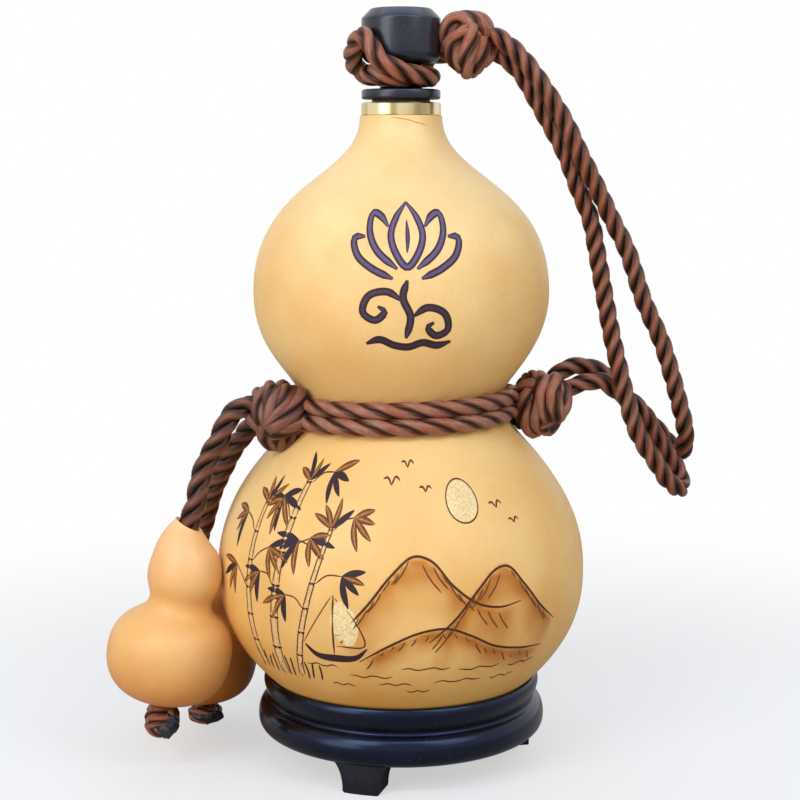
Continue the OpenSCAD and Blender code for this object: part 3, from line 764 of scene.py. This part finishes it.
# The lower bulb: bamboo on the left, hills, water, a moored boat and birds
dice = random.Random(11)
hills = [
    {"line": [(-20, 46), (-11, 56), (-3, 66), (4, 71.5), (10, 70), (17, 62), (25, 56), (33, 54),
              (41, 55)], "depth": 20, "strength": 0.75},
    {"line": [(9, 44), (17, 51), (25, 60), (32, 66), (37, 66.5), (43, 60), (50, 52), (58, 46)],
     "depth": 17, "strength": 0.95},
    {"line": [(-14, 37), (-4, 43), (6, 47.5), (15, 48.5), (23, 45.5), (32, 41), (43, 38.5),
              (54, 37.5)], "depth": 9, "strength": 0.9},
]
for hill in hills:
    stroke(hill["line"], 0.85, (0.4, 0.75))
    curve = alongCurve([(u, 0, z) for u, z in hill["line"]], drawing["step"])
    hill["u"] = [p.x for p in curve]
    hill["z"] = [p.z for p in curve]
    for i in range(6, len(curve) - 6, 4):   # short strokes down the slopes
        p = curve[i]
        drop = (3 + 6 * dice.random()) * hill["depth"] / 20
        lean = 0.9 if curve[i + 1].z < p.z else -0.9
        u, z = p.x + 0.3 * lean, p.z - 0.8 - 1.5 * dice.random()
        stroke([(u, z), (u + lean * drop * 0.3, z - drop * 0.5),
                (u + lean * drop * 0.75, z - drop)], 0.55, (0.35, 0.6))

# A low sun with birds
sun = {"u": 24, "z": 87, "radius": 6.4, "disc": 6.1}
stroke([(sun["u"] + sun["radius"] * cos(a), sun["z"] + sun["radius"] * sin(a))
        for a in [pi * i / 8 for i in range(16)]], 0.5, closed=True)
stroke([(sun["u"], sun["z"] - sun["disc"]), (sun["u"], sun["z"] + sun["disc"])],
       2 * sun["disc"], (0.1, 0.12), "disc", across=12)
for u, z, size in ((-4, 92, 3.6), (3, 97, 3.0), (10, 90, 2.6), (38, 84, 3.0), (44, 79, 2.4)):
    stroke([(u - size, z + 0.5 * size), (u - 0.45 * size, z + 0.62 * size), (u, z)], 0.7)
    stroke([(u, z), (u + 0.5 * size, z + 0.72 * size), (u + size, z + 0.35 * size)], 0.7)

# Water
for u, z, length in ((-34, 34.5, 12), (-18, 31.5, 15), (0, 34.6, 17), (20, 33.5, 16),
                     (40, 32.5, 13), (-8, 28.6, 12), (12, 29.2, 18), (34, 28.6, 11),
                     (-26, 27.6, 9), (2, 25.6, 9)):
    stroke([(u + length * k / 6, z + 0.45 * sin(2.1 * k + u)) for k in range(7)], 0.5)

# Boat: hull, mast, sail with its battens, and a stay
stroke([(-33, 41.5), (-29, 38.2), (-22, 37.6), (-15, 38.4), (-11, 41.8)], 2.6, (0.6, 0.95),
       "leaf", across=4)
stroke([(-22.5, 39), (-22, 59)], 0.7)
stroke([(-16.6, 42.5), (-20.2, 57)], 9.5, (0.12, 0.1), "leaf", across=8)
stroke([(-21.6, 58), (-15.5, 52), (-11.8, 42.8), (-21.4, 42)], 0.55)
for rise in (0.25, 0.5, 0.75):
    stroke([(-21.6, 42 + 15 * rise), (-12.6 - 8 * rise, 43.4 + 13.2 * rise)], 0.4)
stroke([(-22.6, 58.6), (-33.5, 42)], 0.4)

# Bamboo: three stems of jointed lengths, twigs and pointed leaves
bamboo = {"joints": 6, "gap": 0.06, "taper": 0.07, "bulge": 1.25, "hollow": 0.88,
          "line": 0.55, "ring": 0.95, "twig": 0.5, "twigLeaf": 2.3, "headLeaf": 2.2}
stems = [   # foot, head, width
    ((-47, 28), (-41, 92), 3.6), ((-57, 30), (-58.5, 84), 3.0), ((-38.5, 29), (-25, 79), 2.4)]


def leaf(u, z, turn, length, width):
    c, n = cos(radians(turn)), sin(radians(turn))
    stroke([(u, z), (u + 0.5 * length * c + 0.06 * length * n, z + 0.5 * length * n),
            (u + length * c, z + length * n - 0.06 * length)], width,
           (0.62, 1.0) if dice.random() < 0.45 else (0.6, 0.3), "leaf", across=4)


for foot, head, width in stems:
    for joint in range(bamboo["joints"]):
        low, high = (Vector(foot).lerp(Vector(head), at / bamboo["joints"])
                     for at in (joint, joint + 1 - bamboo["gap"]))
        middle = ((low.x + high.x) / 2, (low.y + high.y) / 2)
        thin = 1 - bamboo["taper"] * joint
        half = width / 2
        stroke([(low.x, low.y), middle, (high.x, high.y)], width * thin, (0.22, 0.16))
        for side in (-1, 1):
            stroke([(low.x + side * half * thin, low.y),
                    (middle[0] + side * half * thin * bamboo["hollow"], middle[1]),
                    (high.x + side * half * thin, high.y)], bamboo["line"])
        bulge = half * thin * bamboo["bulge"]
        stroke([(high.x - bulge, high.y + 0.3), (high.x, high.y - 0.35),
                (high.x + bulge, high.y + 0.3)], bamboo["ring"], (0.6, 0.9))
        if joint > 1:
            side = 1 if joint % 2 else -1
            reach = 7 + 4 * dice.random()
            tip = (high.x + side * reach, high.y + 3 + 3 * dice.random())
            stroke([(high.x + side * half, high.y), (high.x + side * reach * 0.5, high.y + 3),
                    tip], bamboo["twig"])
            for fan in (-84, -50, -18, 14):
                leaf(*tip, (fan if side > 0 else 180 - fan) + 10 * dice.random(),
                     7.5 + 4 * dice.random(), bamboo["twigLeaf"])
    for fan in (35, 75, 115, 150):
        leaf(*head, fan + 8 * dice.random(), 7 + 3 * dice.random(), bamboo["headLeaf"])
for k in range(11):   # grass at the foot
    u = -60 + 2.9 * k + dice.random()
    stroke([(u, 27.5 + dice.random()), (u + 0.8, 31),
            (u + 2.6 * dice.random(), 33 + 3 * dice.random())], 0.8, (0.5, 0.85))

burntDrawing = meshObject("burntDrawing", ribbonPoints, ribbonFaces)
setPoints(burntDrawing, "burn", ribbonBurn)
smooth(burntDrawing)

# Pyrography: carbon-dark where the hot point went deep, brown at its edges, and matt
burntSkin, burntShader, place, add = newMaterial("burnt gourd skin")
burnTone = add("Attribute", attribute_name="burn").outputs["Fac"]
burnGrain = add("TexNoise", {"Vector": place, "Scale": 1400, "Detail": 2})
burnUneven = add("MapRange", {"Value": burnGrain, "To Min": -0.12, "To Max": 0.12})
burnSum = add("Math", {0: burnTone, 1: burnUneven}, operation="ADD")
burnLevel = add("Math", {0: burnSum, 1: 0.75}, operation="MULTIPLY")
burnColour = add("ValToRGB", {"Fac": burnLevel},
                 [(0.06, "#f3dca6"), (0.18, "#d09146"), (0.31, "#7b441c"), (0.5, "#3a1a10"),
                  (0.72, "#1f1a2c"), (0.82, "#3d2c35"), (0.98, "#6a5a86")])
setInputs(burntShader, {"Base Color": burnColour, "Roughness": 0.6, "Specular IOR Level": 0.3})
burntDrawing.data.materials.append(burntSkin)
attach(burntDrawing, "bottle")

# Scorched shading under the hills' outlines, in millimetres
shading = {"low": 24, "high": 76, "ends": 6, "edge": 1.6, "broad": 0.6, "near": 0.5,
           "nearDepth": 2.6, "cloudy": 0.5, "clouds": 160}
scorchValues = []
for v in gourdShell.data.vertices:
    value = 0.0
    z = v.co.z / mm - drawing["rise"]
    if v.co.y < 0 and shading["low"] < z < shading["high"] and v.co.length > 40 * mm:
        u = atan2(v.co.x, -v.co.y) * drawing["belly"]
        for hill in hills:
            first, last, depth = hill["u"][0], hill["u"][-1], hill["depth"]
            below = float(np.interp(u, hill["u"], hill["z"])) - z
            if first < u < last and 0 < below < depth:
                ends = min(1, (u - first) / shading["ends"], (last - u) / shading["ends"])
                value = max(value, ends * min(1, below / shading["edge"]) * hill["strength"] * (
                    shading["broad"] * (1 - below / depth)
                    + shading["near"] * exp(-below / shading["nearDepth"])))
        value *= 1 + shading["cloudy"] * noise.noise(v.co * shading["clouds"])
    scorchValues.append(value)
setPoints(gourdShell, "scorch", scorchValues)
print("drawing burnt in:", len(ribbonFaces), "faces")


# Small gourds

smallLength = 64.7
smallOne = {
    "start": (6.0, 3.0),
    "runs": [
        ((9.6, 0.9), (0, -11.2), (21.2, 0.325 * smallLength), 20),   # lower bulb
        ((0, 13.6), (0, -6.6), (10.8, 0.6 * smallLength), 20),       # waist
        ((0, 2.4), (0, -3.6), (12.6, 0.72 * smallLength), 10),       # upper bulb
        ((0, 8.4), (1.4, -2.8), (4.4, smallLength), 18)],            # cut top
    "hole": 3.4, "steps": 120,
    "lump": 0.35, "lumps": 45, "outside": 0.006,
    "lean": 1.0, "cut": 0.4, "cutFrom": 0.84,
}
smallOutline = ([(smallOne["hole"], smallOne["start"][1] + 0.6)]
                + curveLine(smallOne["start"], smallOne["runs"])
                + [(smallOne["hole"], smallLength - 0.3), (smallOne["hole"], smallLength - 6)])
smallPlaces = {
    "front": {"low": (-81, -20, 22), "top": (-71.5, -20, 86), "size": 1.0, "seed": 3.0},
    "back": {"low": (-71.5, 22, 8.5), "top": (-73.5, 22, 70), "size": 0.96, "seed": 9.0},
}
for side, place in smallPlaces.items():
    small = turnedPiece("smallGourd" + side.capitalize(), smallOutline, smallOne["steps"])
    low, top = Vector(place["low"]) * mm, Vector(place["top"]) * mm
    for v in small.data.vertices:
        away = Vector((v.co.x, v.co.y, 0))
        if away.length > smallOne["outside"]:
            p = v.co * smallOne["lumps"] + Vector((place["seed"],) * 3)
            v.co += away.normalized() * noise.noise(p) * smallOne["lump"] * mm
    small.scale = (place["size"],) * 3
    small.rotation_mode = "QUATERNION"
    small.rotation_quaternion = (top - low).to_track_quat("Z", "Y")
    small.location = low
    settle(small)
    for v in small.data.vertices:   # grown a little crooked, and cut off aslant at the top
        share = (v.co.z - low.z) / (top.z - low.z)
        off = v.co.x - low.x - (top.x - low.x) * share
        v.co.x -= smallOne["lean"] * sin(2 * pi * min(1, share)) * mm
        v.co.z -= (smallOne["cut"] * off
                   * max(0, (share - smallOne["cutFrom"]) / (1 - smallOne["cutFrom"])))
    takePlace(small, "small_gourd_" + side, smallSkin, side + "_gourd")
print("small gourds turned")


# Rest of the finishes

brass, brassShader, place, add = newMaterial("polished pale brass")
# broad upright bands of painted reflection, each a few millimetres wide, light and dark round the
# brass
bands = add("Mapping", {"Vector": place, "Scale": (150, 150, 6)})
paintedReflections = add("TexNoise", {"Vector": bands, "Scale": 1.0, "Detail": 1.5})
brassTone = add("ValToRGB", {"Fac": paintedReflections},
                [(0.36, "#94875f"), (0.48, "#c3ae7d"), (0.6, "#eadbae")])
setInputs(brassShader, {"Base Color": brassTone, "Metallic": 1.0, "Roughness": 0.22})


# Lacquer over turned wood: black, a soft cold gloss, dust in its grain
def lacquerMaterial(name, colour, worn, roughness, coat, grain, tint="#ffffff", shine=0.5):
    material, shader, place, add = newMaterial(name)
    dust = add("TexNoise", {"Vector": place, "Scale": grain, "Detail": 4, "Roughness": 0.6})
    rough = add("MapRange",
                {"Value": dust, "To Min": roughness - 0.06, "To Max": roughness + 0.08})
    tone = add("ValToRGB", {"Fac": dust}, [(0.35, colour), (0.75, worn)])
    specks = add("TexVoronoi", {"Vector": place, "Scale": 420})
    speckMask = add("ValToRGB", {"Fac": specks}, [(0.05, "#9a9488"), (0.11, "#000000")])
    dusty = add("MixRGB", {"Fac": 0.16, "Color1": tone, "Color2": speckMask}, blend_type="ADD")
    bump = add("Bump", {"Height": dust, "Strength": 0.05, "Distance": 0.0004})
    setInputs(shader, {"Base Color": dusty, "Normal": bump, "Roughness": rough,
                       "Coat Weight": coat, "Coat Roughness": 0.16, "Coat Tint": tint,
                       "Specular Tint": tint, "Specular IOR Level": shine})
    return material


knobLacquer, standLacquer, footStain, washerRubber, linerWood = (
    lacquerMaterial(*look) for look in (
        ("polished black stopper", "#0c0c0f", "#201d23", 0.3, 0.2, 160, "#d9e0f6", 0.6),
        ("black lacquered wood", "#050506", "#0d0b10", 0.22, 0.0, 120, "#9fb8f6", 0.52),
        ("black stained wood", "#101013", "#1b1b20", 0.55, 0.0, 240, "#dfe4ff", 0.3),
        ("dark rubber", "#1d1412", "#2c211e", 0.6, 0.0, 300),
        ("dark turned liner", "#2a1f18", "#3c2c20", 0.5, 0.1, 200)))

# Pressed cork: brown grains with paler edges
corkStuff, corkShader, place, add = newMaterial("pressed cork")
grains = add("TexVoronoi", {"Vector": place, "Scale": 700})
corkTone = add("ValToRGB", {"Fac": grains}, [(0.2, "#8a5c38"), (0.8, "#c79a6a")])
setInputs(corkShader, {"Base Color": corkTone, "Roughness": 0.85})

# Cord melted to a hard blob: black, lumpy and a little glossy
meltedEnd, meltedShader, place, add = newMaterial("melted black cord end")
blobs = add("TexNoise", {"Vector": place, "Scale": 620, "Detail": 3})
meltedTone = add("ValToRGB", {"Fac": blobs},
                 [(0.35, "#0f0d12"), (0.6, "#2a2a38"), (0.8, "#4a4f63")])
meltedBump = add("Bump", {"Height": blobs, "Strength": 0.7, "Distance": 0.0006})
setInputs(meltedShader, {"Base Color": meltedTone, "Normal": meltedBump, "Roughness": 0.35})

for node, material in (("mouth_ring", brass), ("mouth_liner", linerWood),
                       ("stopper_plug", corkStuff), ("stopper_washer", washerRubber)):
    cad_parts[node].data.materials.clear()
    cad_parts[node].data.materials.append(material)


# Stopper: flange, cord groove and bevelled knob, turned in one piece

def roundEdge(cx, cz, r, start, end, count):
    angles = [radians(start + (end - start) * i / count) for i in range(count + 1)]
    return [(cx + r * cos(a), cz + r * sin(a)) for a in angles]


stopper = {
    "tenon": [(0, 214.85), (5.0, 214.85), (5.0, 227.85)],
    # centre, radius, from and to in degrees, count
    "edges": [
        (12.5, 228.65, 0.8, -90, 0, 5), (12.5, 230.35, 0.8, 0, 90, 5),     # flange
        (8.0, 232.15, 1, -90, -180, 5), (8.0, 238.75, 1, 180, 90, 5),      # cord groove
        (9.9, 243.15, 3.4, -90, 0, 9),                                     # foot of the knob
        (12.4, 254.15, 0.9, 0, 38, 5), (9.7, 256.65, 1.1, 52, 90, 5)],     # bevel
    "top": [(4, 257.87), (0, 257.89)],
    "steps": 128,
}
knobOutline = (stopper["tenon"] + [p for edge in stopper["edges"] for p in roundEdge(*edge)]
               + stopper["top"])
stopperKnob = turnedPiece("stopperKnob", knobOutline, stopper["steps"])
takePlace(stopperKnob, "stopper_knob", knobLacquer, "stopper")


# Stand: a turned ring with a dish, a beaded rim and a full moulding, on three bracket feet

stand = {
    "footHeight": 10.6, "hole": 30.0, "holeTop": 17.4, "underside": 46.8, "start": (47.2, 10.6),
    "runs": [
        ((2.1, 0.6), (0, -2.4), (50.2, 15.28), 14),     # moulding
        ((0, 2.8), (1.9, -0.7), (47.5, 20.9), 14),
        ((-0.9, 0.1), (-0.4, -0.8), (46.7, 22.6), 6),   # the groove over it
        ((0.5, 1.4), (0, -1.4), (48.2, 27.4), 10),      # rim
        ((0, 1.8), (0.8, 0.2), (46.8, 30.3), 8)],
    "dishLevels": (29.8, 28.2, 26.2, 24.4, 22.6, 21, 19.6, 18.4, 17.4),
    "seatGap": 0.4, "dishDrop": 0.12,                   # the dish follows the gourd's skin
    "steps": 220, "footBevel": 0.45, "sharpOver": 35,
}
dishLine = [(skinRadius(z) + stand["seatGap"], z - stand["dishDrop"]) for z in stand["dishLevels"]]
standOutline = (
    [(stand["hole"], stand["footHeight"]), (stand["underside"], stand["footHeight"])]
    + curveLine(stand["start"], stand["runs"])[:-1]
    + [p for p in dishLine if p[0] > stand["hole"] + 0.4]
    + [(stand["hole"], stand["holeTop"]), (stand["hole"], stand["footHeight"])])
standRing = turnedPiece("standRing", standOutline, stand["steps"])
takePlace(standRing, "stand_ring", standLacquer, "stand")

for number in (1, 2, 3):   # the feet: the CAD brackets with their edges eased
    node = "stand_foot_%d" % number
    bracket = bpy.data.objects.new("standFoot%d" % number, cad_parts[node].data.copy())
    scene.collection.objects.link(bracket)
    activate(bracket)
    bpy.ops.object.mode_set(mode="EDIT")
    bpy.ops.mesh.select_all(action="SELECT")
    bpy.ops.mesh.remove_doubles(threshold=1e-5)
    bpy.ops.mesh.dissolve_limited(angle_limit=radians(1))
    bpy.ops.object.mode_set(mode="OBJECT")
    bevel = bracket.modifiers.new("eased", "BEVEL")
    bevel.width = stand["footBevel"] * mm
    bevel.segments = 2
    bevel.limit_method = "ANGLE"
    bevel.angle_limit = radians(stand["sharpOver"])
    bpy.ops.object.modifier_apply(modifier="eased")
    bpy.ops.object.shade_smooth_by_angle(angle=radians(stand["sharpOver"]))
    bracket.data.materials.clear()
    takePlace(bracket, node, footStain, "stand")
print("stopper and stand turned")


# End knots: small tied knots with a melted, blackened end pressed against one side

endKnots = {
    "front": {
        "centre": (-82.0, -20, 18.2), "half": (4.6, 4.2, 5.2), "thick": 4.4 * mm, "bights": [
            (1, [(-3.4, -2.6), (-1.2, -4), (1.8, -3.4)]),
            (1, [(-3.8, 0.4), (-2.4, 2.6), (1, 3.6)]),
            (0.9, [(-4, -1.4), (-1.6, 0.4), (2.2, 1.4)]),
            (0.9, [(3.4, 2.6), (3.8, -0.6), (2.6, -3.2)])],
        "blob": (2.4, -2.6, -0.9), "blobHalf": (3.9, 3.2, 4.9), "seed": 2.0},
    "back": {
        "centre": (-72.2, 22, 6.2), "half": (5.2, 4.4, 3.4), "thick": 3.6 * mm, "bights": [
            (1, [(-4.4, -0.8), (-1.4, -1.6), (2.6, -1.2)]),
            (1, [(-4.6, 0.8), (-1, 1.4), (3.6, 0.8)])],
        "blob": (0.8, -2.4, -0.2), "blobHalf": (5.6, 3.6, 3.2), "seed": 5.0},
}
melting = {"lumps": 330, "lump": 0.22, "grit": 1100, "gritty": 0.08}
for side, knot in endKnots.items():
    tied = tiedKnot("endKnot" + side.capitalize(), knot["centre"], knot["half"], knot["bights"],
                    knot["thick"], behind=1.0, lay=tying["endLay"])
    takePlace(tied, "end_knot_" + side, cordFinish, side + "_pendant")
    middle = Vector(knot["centre"]) + Vector(knot["blob"])
    blob = roundBody("meltedEnd" + side.capitalize(), middle, knot["blobHalf"], 48, 30)
    for v in blob.data.vertices:
        away = v.co - middle * mm
        lumps = noise.noise(v.co * melting["lumps"] + Vector((knot["seed"],) * 3))
        v.co += away * (melting["lump"] * lumps
                        + melting["gritty"] * noise.noise(v.co * melting["grit"]))
    takePlace(blob, "cord_tip_" + side, meltedEnd, side + "_pendant")
    hanging, path = pendantCords[side]
print("end knots tied")
